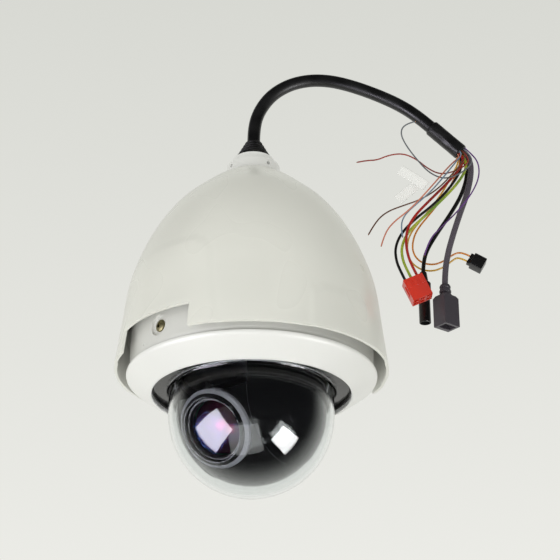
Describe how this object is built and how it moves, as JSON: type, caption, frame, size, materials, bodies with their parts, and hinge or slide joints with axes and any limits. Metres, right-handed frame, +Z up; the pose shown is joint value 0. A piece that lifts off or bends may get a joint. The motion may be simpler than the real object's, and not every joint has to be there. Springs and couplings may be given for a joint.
{
  "type": "ptz dome camera",
  "caption": "Outdoor speed-dome camera: white bell housing and sun shield, clear bubble, panning and tilting lens drum, neck mount and tail cable with pigtails.",
  "frame": {"origin": "centre of the neck's mounting collar, on the pan axis", "axes": "+Z up along the pan axis out of the neck, -Y the side the dome is seen from with its lens turned towards -X -Y, +X the side the tail cable arches to"},
  "size_m": [0.3056, 0.22, 0.3821],
  "materials": {
    "white_paint": "satin",
    "white_plastic": "gloss",
    "cast_grey": "satin",
    "clear_acrylic": "polished",
    "black_plastic": "satin",
    "black_rubber": "matte",
    "cable_jacket": "matte",
    "grey_jacket": "satin",
    "red_plastic": "satin",
    "wire_insulation": "satin",
    "label_paper": "matte",
    "steel": "satin",
    "bronze": "satin",
    "aluminium": "satin",
    "circuit_board": "satin",
    "coated_glass": "polished",
    "nylon": "satin"
  },
  "bodies": {
    "housing": {"mount_neck": "white_paint", "neck_screws": "steel", "cable_gland": "black_rubber", "upper_housing": "cast_grey", "sun_shield": "white_plastic", "shield_rim": "white_plastic", "dome_ring": "white_paint", "ring_lock_screws": "steel", "dome_gasket": "black_rubber", "dome_bubble": "clear_acrylic", "dome_flange": "clear_acrylic", "dome_liner": "black_plastic", "liner_screws": "steel", "chassis_plate": "aluminium", "chassis_posts": "steel", "main_board": "circuit_board", "power_board": "circuit_board", "heater_plate": "aluminium", "fan_frame": "black_plastic", "pan_bearing": "bronze", "slip_ring_body": "black_plastic", "pan_motor": "steel", "main_cable": "cable_jacket", "cable_sleeve": "black_rubber", "network_lead": "grey_jacket", "network_coupler": "grey_jacket", "video_lead": "cable_jacket", "video_connector": "black_plastic", "power_leads": "wire_insulation", "power_plug": "red_plastic", "terminal_leads": "wire_insulation", "terminal_block": "black_plastic", "signal_wires": "wire_insulation", "label_flags": "label_paper"},
    "fan_wheel": {"fan_rotor": "black_plastic"},
    "pan_drive": {"pan_pinion": "bronze"},
    "pan_head": {"pan_gear": "nylon", "slip_ring_rotor": "black_plastic", "pan_turntable": "aluminium", "head_skirt": "black_plastic", "side_cover_left": "black_plastic", "side_cover_right": "black_plastic", "yoke_arm_left": "aluminium", "yoke_arm_right": "aluminium", "tilt_bearings": "bronze", "tilt_motor": "steel"},
    "tilt_drive": {"tilt_pinion": "bronze"},
    "camera_drum": {"tilt_gear": "nylon", "tilt_axles": "steel", "drum_front": "black_plastic", "drum_rear": "black_plastic", "drum_screws": "steel", "lens_bezel": "black_plastic", "lens_barrel": "black_plastic", "front_lens": "coated_glass", "sensor_board": "circuit_board"},
    "zoom_carrier": {"zoom_group": "coated_glass"},
    "focus_carrier": {"focus_group": "coated_glass"},
    "filter_slide": {"ir_filter": "coated_glass"}
  },
  "joints": [
    {"name": "pan", "type": "hinge", "parent": "housing", "child": "pan_head", "pos_m": [0, 0, -0.215], "axis": [0, 0, 1], "continuous": true},
    {"name": "pan_drive_spin", "type": "hinge", "parent": "housing", "child": "pan_drive", "pos_m": [0, 0.042, -0.149], "axis": [0, 0, 1], "continuous": true},
    {"name": "tilt", "type": "hinge", "parent": "pan_head", "child": "camera_drum", "pos_m": [0, 0, -0.215], "axis": [0.8039, -0.5948, 0], "range_deg": [-31, 59]},
    {"name": "tilt_drive_spin", "type": "hinge", "parent": "pan_head", "child": "tilt_drive", "pos_m": [0.03497, -0.02587, -0.197], "axis": [0.8039, -0.5948, 0], "range_deg": [-178, 94]},
    {"name": "zoom", "type": "slide", "parent": "camera_drum", "child": "zoom_carrier", "axis": [-0.5099, -0.689, -0.515], "range_m": [-0.008, 0.004]},
    {"name": "focus", "type": "slide", "parent": "camera_drum", "child": "focus_carrier", "axis": [-0.5099, -0.689, -0.515], "range_m": [-0.004, 0.004]},
    {"name": "day_night_filter", "type": "slide", "parent": "camera_drum", "child": "filter_slide", "axis": [0.8039, -0.5948, 0], "range_m": [0, 0.007]},
    {"name": "fan_spin", "type": "hinge", "parent": "housing", "child": "fan_wheel", "pos_m": [0, 0, -0.064], "axis": [0, 0, 1], "continuous": true}
  ],
  "couplings": [
    {"joint": "pan_drive_spin", "follows": "pan", "ratio": -6},
    {"joint": "tilt_drive_spin", "follows": "tilt", "ratio": -3}
  ]
}
